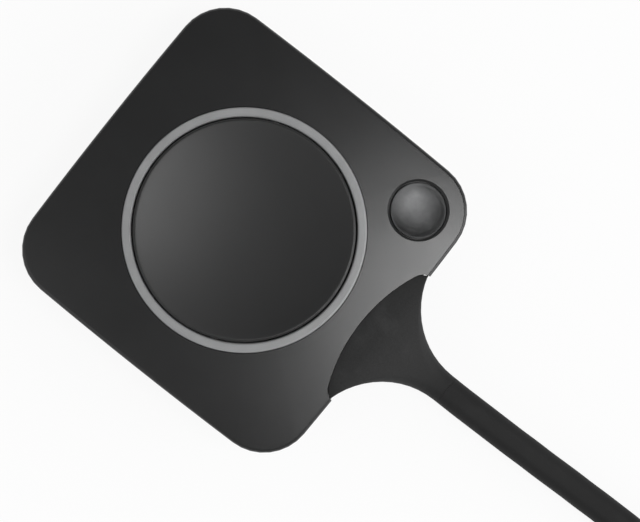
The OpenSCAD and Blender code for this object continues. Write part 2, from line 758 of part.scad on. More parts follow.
module switch_body() {
    color(chip_colour) difference() {
        block([0, 0], [switch_w, switch_w, switch_h], board_top);
        post(cavity_r, dome_z, switch_top + overrun);
    }
}

module switch_terminals() {
    color(metal_colour) for (s = corner_signs)
        block([s.x * (switch_w + lead_reach) / 2, s.y * (switch_w / 2 - lead_w)],
            [lead_reach, lead_w, can_t], board_top);
}

module switch_cover() {
    color(metal_colour) difference() {
        block([0, 0], [switch_w, switch_w, cover_t], switch_top);
        post(plunger_r + slide_gap, switch_top - overrun, switch_top + cover_t + overrun);
    }
}

module switch_plunger() {
    color(white_colour) {
        post(plunger_r, plunger_foot_z, plunger_top);
        post(cavity_r - slide_gap, plunger_foot_z, switch_top - screw_gap);
    }
}

module switch_dome() {
    sphere_r = (dome_r * dome_r + dome_h * dome_h) / (2 * dome_h);
    color(metal_colour) translate([0, 0, dome_z]) rotate_extrude() intersection() {
        translate([0, dome_h - sphere_r]) difference() {
            circle(sphere_r);
            circle(sphere_r - dome_t);
        }
        square([dome_r, dome_h]);
    }
}

module corner_badge() {
    dish_r = badge_r - badge_rim / 2;
    sphere_r = (dish_r * dish_r + badge_dish * badge_dish) / (2 * badge_dish);
    color(metal_colour) on_crown([half_w - badge_inset, half_w - badge_inset])
        translate([0, 0, -badge_sink - badge_t]) rotate_extrude() difference() {
            disc_profile(badge_r, badge_t, fit_gap);
            translate([0, badge_t - badge_dish + sphere_r]) circle(sphere_r, $fn = dish_fn);
        }
}

// Section of the flare at turn a round its side circles, from the pad to the cable
function flare_ring(a) = let (
    x = flare_x - flare_r * cos(a),
    s = smooth((x - tip_x) / flare_reach),
    top = mix(pad_top_z, cable_z + cable_t / 2, s),
    low = mix(pad_low_z, cable_z - cable_t / 2, s))
    section(x, 0, (top + low) / 2, flare_y - flare_r * sin(a), (top - low) / 2,
        mix(pad_edge_r, (top - low) / 2, s));

module cable_boot() {
    start = acos(flare_reach / flare_r);
    color(rubber_colour) difference() {
        union() {
            prism(pad_outline(0, tip_x + fit_gap), pad_low_z, pad_top_z);
            loft(concat(
                [for (i = [0 : flare_steps]) flare_ring(mix(start, 90, i / flare_steps))],
                [section(boot_x, 0, cable_z, cable_w / 2, cable_t / 2, cable_t / 2)]));
            // The cable's end inside the housing
            along_x(stub_x, pad_x + weld) translate([0, cable_z]) oval(0);
        }
        for (s = [-1, 1]) translate([dowel_x, s * dowel_y])
            post(dowel_r + fit_gap, pad_low_z - overrun, dowel_top + fit_gap);
    }
}

// Unit vector from one point towards another
function heading(a, b) = (b - a) / norm(b - a);
// Ring of the flat oval at point i of a route; the end rings stand square to X
function oval_ring(route, i) = let (
    last = len(route) - 1,
    t = (i == 0 || i == last) ? [1, 0, 0] : heading(route[i - 1], route[i + 1]),
    side = cross([0, 0, 1], t) / norm(cross([0, 0, 1], t)),
    up = cross(t, side),
    r = cable_t / 2,
    n = cable_sides / 2)
    [for (s = [1, -1]) for (j = [0 : n - 1]) let (a = (j / (n - 1) - 0.5) * 180)
        route[i] + side * s * ((cable_w - cable_t) / 2 + r * cos(a)) + up * s * r * sin(a)];

module cable() {
    color(rubber_colour) translate([boot_x, 0, cable_z])
        loft([for (i = [0 : len(cable_route) - 1]) oval_ring(cable_route, i)]);
}

module cable_clamp() {
    ear_half = strap_y + strap_boss_r;
    color(metal_colour) difference() {
        along_x(strap_x - strap_w / 2, strap_x + strap_w / 2) translate([0, cable_z])
            difference() {
                union() {
                    oval(screw_gap + strap_t);
                    translate([-ear_half, -strap_t]) square([2 * ear_half, strap_t]);
                }
                oval(screw_gap);
                translate([-ear_half, -strap_t - cable_t]) square([2 * ear_half, cable_t]);
            }
        for (s = [-1, 1]) translate([strap_x, s * strap_y])
            post(small_screw_r + fit_gap, strap_ear_z - overrun, cable_z + overrun);
    }
}

module clamp_screws() {
    color(steel_colour) for (s = [-1, 1]) translate([strap_x, s * strap_y, cable_z])
        mirror([0, 0, 1]) screw(small_head_r, small_head_h, small_screw_r,
            cable_z - standoff_pilot_z - fit_gap);
}

// Round wire along a smooth step from one point to another
function wire_ring(a, b, s) = [for (j = [0 : 5])
    [mix(a.x, b.x, s), mix(a.y, b.y, smooth(s)) + wire_r * cos(60 * j),
        mix(a.z, b.z, smooth(s)) + wire_r * sin(60 * j)]];

module wire_loom() {
    color(gold_colour) for (share = wire_shares) {
        a = [header_x + header_w / 2, share * header_len, wire_z];
        b = [stub_x, share * cable_w * 0.8, cable_z];
        loft([for (i = [0 : wire_steps]) wire_ring(a, b, i / wire_steps)]);
    }
}

module cable_header() {
    color(white_colour) difference() {
        block([header_x, 0], [header_w, header_len, header_h], board_top);
        block([header_x - header_w / 4, 0], [header_w / 2, header_len - 2 * rib_t, header_h],
            board_top + rib_t);
    }
}

module plug_grip() {
    neck = [cable_w / 2 + neck_wall, cable_t / 2 + neck_wall];
    full = [grip_w / 2, grip_t / 2];
    color(rubber_colour) translate(plug_start) difference() {
        loft(concat(
            [for (i = [0 : grip_steps]) let (s = smooth(i / grip_steps), half = mix(neck, full, s))
                section(grip_taper * i / grip_steps, 0, 0, half.x, half.y,
                    mix(neck.y, grip_corner_r, s))],
            [for (b = [0, 30, 60, 90])
                section(grip_len - grip_edge_r * (1 - sin(b)), 0, 0,
                    full.x - grip_edge_r * (1 - cos(b)), full.y - grip_edge_r * (1 - cos(b)),
                    grip_corner_r - grip_edge_r * (1 - cos(b)))]));
        along_x(grip_len - shell_seat, grip_len + overrun)
            rounded_plate(shell_w, shell_t, shell_corner_r);
    }
}

module plug_shell() {
    mouth_x = grip_len + shell_len;
    color(metal_colour) translate(plug_start) difference() {
        along_x(grip_len - shell_seat, mouth_x) difference() {
            rounded_plate(shell_w, shell_t, shell_corner_r);
            rounded_plate(shell_w - 2 * sheet_t, shell_t - 2 * sheet_t, shell_corner_r - sheet_t);
        }
        for (s = [-1, 1]) translate([mouth_x - window_shares[1] * shell_len - window_w / 2,
                s * window_shares[0] * shell_w - window_w / 2, -shell_t])
            cube([window_w, window_w, 2 * shell_t]);
    }
}

module plug_insulator() {
    inner = [shell_w, shell_t] - 2 * [sheet_t + screw_gap, sheet_t + screw_gap];
    color(white_colour) translate(plug_start) difference() {
        along_x(grip_len - shell_seat, grip_len + shell_len - tongue_back)
            rounded_plate(inner.x, inner.y, shell_corner_r - sheet_t);
        translate([grip_len + block_len, -shell_w, tongue_t - inner.y / 2])
            cube([shell_len, 2 * shell_w, shell_t]);
    }
}

module plug_contacts() {
    low_z = tongue_t + sheet_t + screw_gap - shell_t / 2;
    start_x = grip_len + block_len;
    tip_x = grip_len + shell_len - tongue_back;
    color(gold_colour) translate(plug_start) for (i = [0 : len(contact_shares) - 1])
        translate([start_x, contact_shares[i] * (shell_w - 2 * sheet_t) - contact_w / 2, low_z])
            cube([tip_x - contact_backs[i] - start_x, contact_w, contact_t]);
}

module main_board() {
    color(board_colour) translate([0, 0, board_z]) linear_extrude(board_t) difference() {
        square(board_w, center = true);
        for (s = corner_signs) translate([s.x * board_w / 2, s.y * board_w / 2])
            square(2 * board_corner, center = true);
        translate([notch_x, -notch_y]) square([board_w, 2 * notch_y]);
        for (p = board_screw_places) translate(p) circle(small_screw_r + fit_gap);
    }
}

module board_screws() {
    color(steel_colour) for (p = board_screw_places) translate([p.x, p.y, board_top])
        mirror([0, 0, 1]) screw(small_head_r, small_head_h, small_screw_r,
            board_top - standoff_pilot_z - fit_gap);
}

module status_leds() {
    color(white_colour) for (i = [0 : led_count - 1]) rotate((i + 0.5) * led_step)
        block([ring_mid_r, 0], [led_size.x, led_size.y, led_h], board_top);
}

module shield_frame() {
    outer = [shield_x, shield_y] - 2 * [can_t + screw_gap, can_t + screw_gap];
    color(metal_colour) difference() {
        block(shield_place, [outer.x, outer.y, frame_h], board_top);
        block(shield_place, [outer.x - 2 * can_t, outer.y - 2 * can_t, frame_h + overrun],
            board_top - overrun / 2);
    }
}

module shield_lid() {
    lid_z = board_top + screw_gap;
    color(steel_colour) difference() {
        block(shield_place, [shield_x, shield_y, shield_h - screw_gap], lid_z);
        block(shield_place, [shield_x - 2 * can_t, shield_y - 2 * can_t, shield_h + overrun],
            lid_z - overrun - can_t);
        for (x = [-2 : 2]) for (y = [-2 : 2]) translate(shield_place + vent_step * [x, y])
            post(vent_r, board_top + frame_h, board_top + shield_h + overrun);
    }
}

module processor() {
    color(chip_colour) block(processor_place, [processor_w, processor_w, chip_h], board_top);
}

module memory_chip() {
    color(chip_colour) block(memory_place, [memory_l, memory_w, chip_h], board_top);
}

module thermal_pad() {
    color(plate_colour) block(processor_place,
        [processor_w, processor_w, shield_h - can_t - chip_h], board_top + chip_h);
}

module radio_module() {
    place = board_w / 2 * radio_shares;
    color(steel_colour) {
        block(place, [radio_x, radio_y, radio_base_t], board_top);
        block(place, [radio_x - rib_t, radio_y - rib_t, radio_h], board_top);
    }
}

module antennas() {
    color(gold_colour) for (s = [-1, 1]) {
        place = board_w / 2 * [antenna_shares[0], s * antenna_shares[1]];
        block(place - [0, s * (antenna_w - antenna_sheet) / 2], [antenna_len, antenna_sheet, antenna_h],
            board_top);
        block(place, [antenna_len, antenna_w, antenna_sheet], board_top + antenna_h - antenna_sheet);
    }
}

module crystal() {
    color(metal_colour) block(board_w / 2 * crystal_shares, crystal_size, board_top);
}

module passive_parts() {
    color(plate_colour) {
        for (p = chip_shares) block(board_w / 2 * p, chip_size, board_top);
        for (p = coil_shares) block(board_w / 2 * p, coil_size, board_top);
    }
}

module case_screws() {
    color(steel_colour) for (p = case_places) translate([p.x, p.y, case_seat_z])
        screw(case_head_r, case_head_h, case_screw_r, case_pilot_z - fit_gap - case_seat_z);
}

module feet() {
    color(rubber_colour) for (p = case_places) translate([p.x, p.y, foot_proud + foot_sink])
        mirror([0, 0, 1]) rotate_extrude()
            disc_profile(foot_r, foot_proud + foot_sink, foot_proud / 2);
}

top_shell();
bottom_shell();
light_ring();
button_carrier();
carrier_screws();
push_button();
switch_body();
switch_terminals();
switch_cover();
switch_plunger();
switch_dome();
corner_badge();
cable_boot();
cable();
cable_clamp();
clamp_screws();
wire_loom();
cable_header();
plug_grip();
plug_shell();
plug_insulator();
plug_contacts();
main_board();
board_screws();
status_leds();
shield_frame();
shield_lid();
processor();
memory_chip();
thermal_pad();
radio_module();
antennas();
crystal();
passive_parts();
case_screws();
feet();
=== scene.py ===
# %% [markdown]
# # A wireless presentation dongle, dressed in Blender
# The real object is a flat, square puck of dark satin plastic that a presenter sets beside a laptop. A
# large dished button fills its top, a translucent ring lights up round it, a metal disc sits in one corner,
# and a flat cable leaves through a flared rubber boot and ends in a USB plug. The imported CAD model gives
# every size and place. This script adds what CAD leaves out: round edges, moulded grain, brushed metal,
# rubber, a board with its tracks, and light like that of the photograph. Everything is in metres, with the
# table at height 0 and the cable along +X.

# %% Load the CAD frame
import json
from math import asin, cos, pi, radians, sin, sqrt

import bpy
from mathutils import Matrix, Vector

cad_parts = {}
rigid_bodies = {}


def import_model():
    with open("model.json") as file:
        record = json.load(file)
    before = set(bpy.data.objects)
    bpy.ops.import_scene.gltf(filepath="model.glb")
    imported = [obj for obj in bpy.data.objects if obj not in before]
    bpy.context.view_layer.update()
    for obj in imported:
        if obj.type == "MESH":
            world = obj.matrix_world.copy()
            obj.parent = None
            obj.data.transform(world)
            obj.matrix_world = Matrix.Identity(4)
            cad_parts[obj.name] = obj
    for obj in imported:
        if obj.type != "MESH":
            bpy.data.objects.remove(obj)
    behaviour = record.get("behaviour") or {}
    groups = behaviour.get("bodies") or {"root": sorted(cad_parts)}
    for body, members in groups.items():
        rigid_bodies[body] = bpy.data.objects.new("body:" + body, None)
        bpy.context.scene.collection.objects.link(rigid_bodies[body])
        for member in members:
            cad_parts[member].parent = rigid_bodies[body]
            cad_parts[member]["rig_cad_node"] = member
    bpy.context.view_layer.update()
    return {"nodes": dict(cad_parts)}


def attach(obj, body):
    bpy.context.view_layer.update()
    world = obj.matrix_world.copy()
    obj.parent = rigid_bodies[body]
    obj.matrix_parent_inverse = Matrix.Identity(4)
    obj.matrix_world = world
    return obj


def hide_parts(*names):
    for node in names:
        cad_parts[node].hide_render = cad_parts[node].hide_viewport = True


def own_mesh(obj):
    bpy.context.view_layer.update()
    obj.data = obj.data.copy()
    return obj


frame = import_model()
scene = bpy.context.scene
scene.view_settings.view_transform = "Standard"
MM = 0.001

# %% [markdown]
# ## The camera
# The photograph looks straight down with a long lens, so the puck shows no sides and almost no perspective.
# The picture's right edge lies 38.5 degrees round from the cable's direction. A wide lens close by would
# give the same framing but would show the walls, so the camera stands 0.6 m up with a lens of about 200 mm.

# %% Camera at the photograph's angle
view_centre, view_width, view_turn = (13.27, 3.88), 109.1, 38.5
widest_z, camera_height = 11.0, 611.0
bpy.ops.object.select_all(action="DESELECT")
bpy.ops.object.camera_add(location=[c * MM for c in (*view_centre, camera_height)],
                          rotation=(0, 0, radians(view_turn)))
camera = bpy.context.object
camera.name = "photo_camera"
camera.data.lens = camera.data.sensor_width * (camera_height - widest_z) / view_width
scene.camera = camera
print("camera lens in mm", round(camera.data.lens, 1))

# %% [markdown]
# ## Small tools for modelling
# An operator works on everything that is selected, and loading the frame leaves its nodes selected. So one
# helper selects a single piece and nothing else, and another applies a modifier at once. The third finishes
# a piece: it puts place and turn into the mesh, which keeps patterns still, and lets the piece ride on its
# CAD body in place of the nodes that it stands for.

# %% Selecting and finishing one piece
def only(piece):
    """Leave edit mode and select this piece alone."""
    if bpy.context.mode != "OBJECT":
        bpy.ops.object.mode_set(mode="OBJECT")
    bpy.ops.object.select_all(action="DESELECT")
    piece.select_set(True)
    bpy.context.view_layer.objects.active = piece


def apply_modifier(piece, kind, **settings):
    """Add a modifier and apply it at once."""
    only(piece)
    modifier = piece.modifiers.new(kind.title(), kind)
    for name, value in settings.items():
        setattr(modifier, name, value)
    bpy.ops.object.modifier_apply(modifier=modifier.name)


def settle(piece, nodes, body="root", smooth=35):
    """Put the piece's place into its mesh, shade it, and let it stand for CAD nodes on their body."""
    only(piece)
    bpy.ops.object.transform_apply(location=True, rotation=True, scale=True)
    bpy.ops.object.shade_smooth_by_angle(angle=radians(smooth))
    apply_modifier(piece, "WEIGHTED_NORMAL", keep_sharp=True, weight=60)
    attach(piece, body)
    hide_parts(*nodes)
    print(piece.name, "has", len(piece.data.polygons), "faces")
    return piece


# %% [markdown]
# ## Copies of CAD nodes
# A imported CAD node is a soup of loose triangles, which shades as flat facets. Its own mesh must stay as it
# is, so a copy is made: its stored normals are cleared, the doubles merged, the triangles joined to quads
# or to flat faces, and where it helps the hard edges get the small round that every moulded or stamped part
# has.

# %% A clean twin of a CAD node
weld_gap, level_angle, sharp_angle = 0.001 * MM, radians(0.3), radians(50)


def twin(node, name, body="root", flat=False, edge=0.0, smooth=35, shape=None):
    """Copy a CAD node, clean its mesh and let the copy stand for it.

    flat joins the faces of each plane, edge rounds sharp edges by so many mm, and shape is run on it last.
    """
    only(frame["nodes"][node])
    bpy.ops.object.duplicate()
    piece = bpy.context.object
    piece.name = piece.data.name = name
    piece.parent = None
    del piece["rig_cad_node"]
    bpy.ops.mesh.customdata_custom_splitnormals_clear()
    bpy.ops.object.mode_set(mode="EDIT")
    bpy.ops.mesh.select_all(action="SELECT")
    bpy.ops.mesh.remove_doubles(threshold=weld_gap)
    if flat:
        bpy.ops.mesh.dissolve_limited(angle_limit=level_angle)
    else:
        bpy.ops.mesh.tris_convert_to_quads(face_threshold=radians(20), shape_threshold=radians(40))
    bpy.ops.object.mode_set(mode="OBJECT")
    if edge:
        apply_modifier(piece, "BEVEL", width=edge * MM, segments=2,
                       limit_method="ANGLE", angle_limit=sharp_angle)
    if shape:
        shape(piece)
    return settle(piece, [node], body, smooth)


# %% [markdown]
# ## The cable
# The real cable is a soft flat oval, 5.25 mm wide and 4 mm thick, that comes out of the boot, sinks to the
# table and runs on to the plug. A curve with a bevel goes smoothly through each point of the CAD route, and
# it bends more evenly than an extruded box would. The oval is a second curve that serves as the first one's
# section.

# %% Route and section of the cable
cable_exit = (43.89, 0.0, 7.8)
cable_steps = [[0, 0, 0], [3, 0, -0.05], [6, 0.05, -0.25], [9, 0.1, -0.55], [12, 0.15, -0.9], [15, 0.2, -1.3],
               [18, 0.3, -1.7], [21, 0.35, -2.1], [24, 0.45, -2.45], [27, 0.55, -2.75], [30, 0.6, -3],
               [33, 0.7, -3.2], [36, 0.75, -3.35], [39, 0.8, -3.45], [42, 0.8, -3.5], [45.6, 0.8, -3.55]]
cable_route = [tuple((a + b) * MM for a, b in zip(cable_exit, step)) for step in cable_steps]
cable_width, cable_thick = 5.25, 4.0


def poly_curve(name, points, closed=False):
    """A curve object through the given points in metres, joined by straight pieces."""
    curve = bpy.data.curves.new(name, "CURVE")
    curve.dimensions = "3D"
    spline = curve.splines.new("POLY")
    spline.points.add(len(points) - 1)
    for knot, place in zip(spline.points, points):
        knot.co = (*place, 1)
    spline.use_cyclic_u = closed
    piece = bpy.data.objects.new(name, curve)
    scene.collection.objects.link(piece)
    return piece


def stadium(width, thick, steps=12):
    """Points of a flat oval with round sides, as seen along the cable."""
    r, half = thick / 2, (width - thick) / 2
    turns = [-90 + 180 * i / steps for i in range(steps + 1)]
    right = [(half + r * cos(radians(t)), r * sin(radians(t))) for t in turns]
    return [(x * MM, y * MM, 0) for x, y in right + [(-x, -y) for x, y in right]]


def fine_route(points, cuts=4):
    """More points on a smooth line through a route (a Catmull-Rom line)."""
    p = [Vector(q) for q in points]
    p = [2 * p[0] - p[1], *p, 2 * p[-1] - p[-2]]
    line = [p[1]]
    for a, b, c, d in zip(p, p[1:], p[2:], p[3:]):
        for k in range(1, cuts + 1):
            t = k / cuts
            line.append(0.5 * (2 * b + (c - a) * t + (2 * a - 5 * b + 4 * c - d) * t ** 2
                               + (3 * b - a - 3 * c + d) * t ** 3))
    return [tuple(q) for q in line]


# %% Flat cable along the CAD route
oval = poly_curve("cable_section", stadium(cable_width, cable_thick), closed=True)
cable = poly_curve("cable_sheath", fine_route(cable_route))
cable.data.bevel_mode = "OBJECT"
cable.data.bevel_object = oval
cable.data.use_fill_caps = True
cable.data.twist_mode = "Z_UP"
only(cable)
bpy.ops.object.convert(target="MESH")
cable = bpy.context.object
bpy.data.objects.remove(oval)
settle(cable, ["cable"], smooth=50)
print("cable in mm", [round(c / MM, 2) for c in cable.dimensions])

# %% [markdown]
# ## The plug
# The photograph ends before the plug, so it is a plain generic one: a moulded grip with a tapered neck, and
# the standard folded steel shell with four square windows. They could be modelled afresh, but the CAD nodes
# already have these shapes, so twins of them are enough; the shell, the tongue and the contacts get a small
# round on their edges, and the grip is only shaded smooth.

# %% Plug grip, steel shell, tongue and contacts
plug_grip = twin("plug_grip", "plug_grip_mould", smooth=40)
plug_shell = twin("plug_shell", "plug_shell_sheet", flat=True, edge=0.05)
plug_tongue = twin("plug_insulator", "plug_tongue", flat=True, edge=0.12)
plug_contacts = twin("plug_contacts", "plug_contact_strips", flat=True, edge=0.04)

# %% [markdown]
# ## The two housing shells
# The housing is two moulded shells that meet at a fine line round the side. The top is crowned very
# slightly and rolls over a soft edge; the lower shell draws in to a smaller foot. The CAD lofts hold these
# shapes, so their twins are shaded smooth, with only the well and the pockets kept crisp. Two sharp edges
# that meet leave no line at all, so the outer edge of each shell is selected where its wall meets the
# parting plane, and bevelled to half a groove.

# %% Top and bottom shells with their parting line
parting_z, seam_round, plane_gap, level_normal = 8.2, 0.16, 0.01, 0.95


def round_seam(piece, side):
    """Bevel a shell's outer edge at the parting plane; side is 1 for the upper shell and -1 for the lower."""
    only(piece)
    bpy.ops.object.mode_set(mode="EDIT")
    bpy.ops.mesh.select_mode(type="EDGE")
    bpy.ops.mesh.select_all(action="DESELECT")
    bpy.ops.object.mode_set(mode="OBJECT")
    ledge, wall = set(), set()
    for face in piece.data.polygons:
        middle, normal = face.center, face.normal
        if abs(normal.z) > level_normal:
            ledge.update(face.edge_keys)
        elif middle.x * normal.x + middle.y * normal.y > 0 and side * (middle.z / MM - parting_z) > 0:
            wall.update(face.edge_keys)
    seam = ledge & wall
    for edge in piece.data.edges:
        heights = [piece.data.vertices[v].co.z / MM for v in edge.vertices]
        edge.select = edge.key in seam and max(abs(z - parting_z) for z in heights) < plane_gap
    print(piece.name, "seam edges:", sum(edge.select for edge in piece.data.edges))
    bpy.ops.object.mode_set(mode="EDIT")
    bpy.ops.mesh.bevel(offset=seam_round * MM, segments=2, affect="EDGES")
    bpy.ops.mesh.select_mode(type="VERT")
    bpy.ops.object.mode_set(mode="OBJECT")


top_housing = twin("top_shell", "top_housing", smooth=24, shape=lambda piece: round_seam(piece, 1))
bottom_housing = twin("bottom_shell", "bottom_housing", smooth=24, shape=lambda piece: round_seam(piece, -1))

# %% [markdown]
# ## Turning round pieces
# The button, the ring and the disc are bodies of revolution. They could be cut from cylinders, but a ring
# of points that is extruded and resized step by step follows any profile exactly, as on a lathe, and gives
# clean quads. With 160 steps round, even the 41 mm ring stays round in a close view. Where a profile meets
# the axis it has a tiny radius, because a ring without size can't be resized any more, and its points are
# merged to a pole at the end.

# %% A lathe made of extrude and resize
AXIS, closing_gap = 0.004, 0.01


def turned(name, profile, steps=160, closed=False):
    """Turn a profile of (radius, height) pairs in mm round Z; its ends close to poles or to each other."""
    bpy.ops.object.select_all(action="DESELECT")
    radius, height = profile[0]
    bpy.ops.mesh.primitive_circle_add(vertices=steps, radius=radius * MM, location=(0, 0, height * MM))
    piece = bpy.context.object
    piece.name = piece.data.name = name
    bpy.ops.object.transform_apply(location=True)
    bpy.ops.object.mode_set(mode="EDIT")
    bpy.ops.mesh.select_all(action="SELECT")
    for (r0, z0), (r1, z1) in zip(profile, profile[1:]):
        bpy.ops.mesh.extrude_region_move(TRANSFORM_OT_translate={"value": (0, 0, (z1 - z0) * MM)})
        bpy.ops.transform.resize(value=(r1 / r0, r1 / r0, 1), center_override=(0, 0, z1 * MM))
    bpy.ops.mesh.select_all(action="SELECT")
    bpy.ops.mesh.remove_doubles(threshold=(closing_gap if closed else 3 * AXIS) * MM)
    bpy.ops.mesh.normals_make_consistent(inside=False)
    bpy.ops.object.mode_set(mode="OBJECT")
    return piece


# %% Small rounds, copies and welds
def rounded(corner, radius, start, end, steps=6):
    """Points of a small round about a centre, from one angle to another, in degrees."""
    turns = [start + (end - start) * i / steps for i in range(steps + 1)]
    return [(corner[0] + radius * cos(radians(t)), corner[1] + radius * sin(radians(t))) for t in turns]


def copies_round(part, count):
    """Copies of a part, evenly round the Z axis and from half a step past +X; the part itself goes."""
    copies = []
    for i in range(count):
        only(part)
        bpy.ops.object.duplicate()
        copy = bpy.context.object
        copy.rotation_euler = (0, 0, 2 * pi * (i + 0.5) / count)
        bpy.ops.object.transform_apply(rotation=True)
        copies.append(copy)
    bpy.data.objects.remove(part)
    return copies


def combine(piece, parts, operation="UNION"):
    """Weld parts to a piece, or cut them out of it, so that it stays one closed skin."""
    for part in parts:
        apply_modifier(piece, "BOOLEAN", operation=operation, object=part, solver="EXACT")
        bpy.data.objects.remove(part)
    print(piece.name, "is", operation.lower(), "of", len(parts) + 1, "solids")


# %% [markdown]
# ## The push button
# The button is a shallow bowl for a fingertip, 1.3 mm deep, with a narrow flat rim and a skirt that
# disappears into the well. Below it are a post that meets the switch and four split guide pins. The bowl is
# part of a large sphere, and that even curve is what carries the soft light across the button in the
# photograph. The cap is turned. One pin is turned too, slit with a thin box and copied round, because four
# pins that are modelled one by one would never be quite alike.

# %% Dished button
button_r, rim_z, dish_depth, rim_w, rim_round = 18.9, 16.3, 1.3, 0.5, 0.35
skirt_z, cap_z, skirt_t, post_r, post_z = 13.2, 13.6, 1.6, 2.2, 10.25
dish_r = button_r - rim_w
sphere_r = (dish_r ** 2 + dish_depth ** 2) / (2 * dish_depth)


def dish_z(radius):
    """Height of the bowl at a distance from the axis."""
    return rim_z - dish_depth + sphere_r - sqrt(sphere_r ** 2 - radius ** 2)


bowl = [(dish_r * i / 24 or AXIS, dish_z(dish_r * i / 24)) for i in range(24)]
button = turned("button_cap", [
    *bowl, (dish_r - 0.12, dish_z(dish_r - 0.12)), (dish_r + 0.05, rim_z - 0.004),
    *rounded((button_r - rim_round, rim_z - rim_round), rim_round, 90, 0, 8),
    (button_r, skirt_z + 0.2), (button_r - 0.2, skirt_z), (button_r - skirt_t, skirt_z),
    (button_r - skirt_t, cap_z), (post_r + 0.3, cap_z), (post_r, cap_z - 0.3),
    (post_r, post_z + 0.3), (post_r - 0.3, post_z), (AXIS, post_z)])

# %% Guide pins with split snap hooks
pin_place, pin_r, hook_w, hook_h, hook_top, slit = 13.0, 1.2, 0.5, 1.2, 9.68, 0.6
hook_low = hook_top - hook_h
pin = turned("guide_pin", [
    (AXIS, hook_low), (pin_r - 0.1, hook_low), (pin_r, hook_low + 0.1), (pin_r + hook_w, hook_top - 0.06),
    (pin_r + hook_w - 0.06, hook_top), (pin_r, hook_top), (pin_r, cap_z + 0.5),
    (AXIS, cap_z + 0.5)], steps=40)
bpy.ops.mesh.primitive_cube_add(size=1, location=(0, 0, hook_top * MM))
saw = bpy.context.object
saw.dimensions = (6 * pin_r * MM, slit * MM, 2 * (hook_h + 0.1) * MM)
combine(pin, [saw], "DIFFERENCE")
pin.location.x = pin_place * MM
only(pin)
bpy.ops.object.transform_apply(location=True)
combine(button, copies_round(pin, 4))
settle(button, ["push_button"], "button", smooth=30)

# %% [markdown]
# ## The light ring
# The ring is a light guide: one clear, slightly milky moulding whose narrow band shows round the button. A
# flange holds it under the housing, and eight round pegs reach down to the LEDs on the board. The band and
# flange are turned; one peg is modelled and copied round.

# %% Translucent ring with its pegs
ring_out, ring_w, ring_top, ring_round = 20.8, 1.65, 15.8, 0.35
flange_r, flange_low, flange_top = 22.0, 12.0, 12.8
ring_in = ring_out - ring_w
ring = turned("light_guide_ring", [
    (ring_in, flange_low + 0.1), *rounded((ring_in + ring_round, ring_top - ring_round), ring_round, 180, 90),
    *rounded((ring_out - ring_round, ring_top - ring_round), ring_round, 90, 0),
    (ring_out, flange_top), (flange_r - 0.1, flange_top), (flange_r, flange_top - 0.1),
    (flange_r, flange_low + 0.1), (flange_r - 0.1, flange_low), (ring_in + 0.1, flange_low),
    (ring_in, flange_low + 0.1)], closed=True)
peg_r, peg_low, peg_count = 1.1, 6.3, 8
peg = turned("light_peg", [(AXIS, peg_low), *rounded((peg_r - 0.2, peg_low + 0.2), 0.2, -90, 0, 3),
                           (peg_r, flange_low + 0.3), (AXIS, flange_low + 0.3)], steps=32)
peg.location.x = (ring_out - ring_w / 2) * MM
only(peg)
bpy.ops.object.transform_apply(location=True)
combine(ring, copies_round(peg, peg_count))
settle(ring, ["light_ring"], smooth=30)

# %% [markdown]
# ## The corner disc
# A small dished metal disc sits in a sunk seat near the corner. It is left bare. It is turned like the
# button, and then tipped by a few degrees so that it follows the crown of the housing.

# %% Dished metal disc
badge_r, badge_t, badge_sink, badge_dish, badge_rim = 4.8, 0.8, 0.5, 0.4, 0.55
badge_place, crown_z, crown_r = 21.0, 16.25, 360.0
badge_dish_r = badge_r - badge_rim / 2
badge_sphere = (badge_dish_r ** 2 + badge_dish ** 2) / (2 * badge_dish)
badge_bowl = [(badge_dish_r * i / 16 or AXIS, -badge_dish + badge_sphere
               - sqrt(badge_sphere ** 2 - (badge_dish_r * i / 16) ** 2)) for i in range(17)]
badge = turned("corner_disc", [
    *badge_bowl, *rounded((badge_r - 0.1, -0.1), 0.1, 90, 0, 4),
    (badge_r, 0.08 - badge_t), (badge_r - 0.08, -badge_t), (AXIS, -badge_t)], steps=96)
tip = asin(sqrt(2) * badge_place / crown_r)
badge.rotation_mode = "AXIS_ANGLE"
badge.rotation_axis_angle = (tip, -1 / sqrt(2), 1 / sqrt(2), 0)
out = Vector((sin(tip) / sqrt(2), sin(tip) / sqrt(2), cos(tip)))
foot = Vector((badge_place, badge_place, crown_z - crown_r + sqrt(crown_r ** 2 - 2 * badge_place ** 2)))
badge.location = (foot - badge_sink * out) * MM
settle(badge, ["corner_badge"], smooth=30)

# %% [markdown]
# ## The cable boot
# The rubber boot is one soft moulding: a lens-shaped pad let into the housing, and two flared sides that
# run together into the cable. The CAD loft already has that shape, so a twin of it gets the small round
# that a rubber mould leaves on every edge.

# %% Flared rubber boot
boot = twin("cable_boot", "rubber_boot", edge=0.12, smooth=50)

# %% [markdown]
# ## Feet, screws and the pieces inside
# Four rubber feet and four screws close the underside. Inside are the board with its chips under a metal
# can, the switch, the ring's LEDs, the radio with two antennas and the connector for the cable. They are
# small and mostly hidden, so twins are enough, most with rounded edges, and their finishes do the rest.

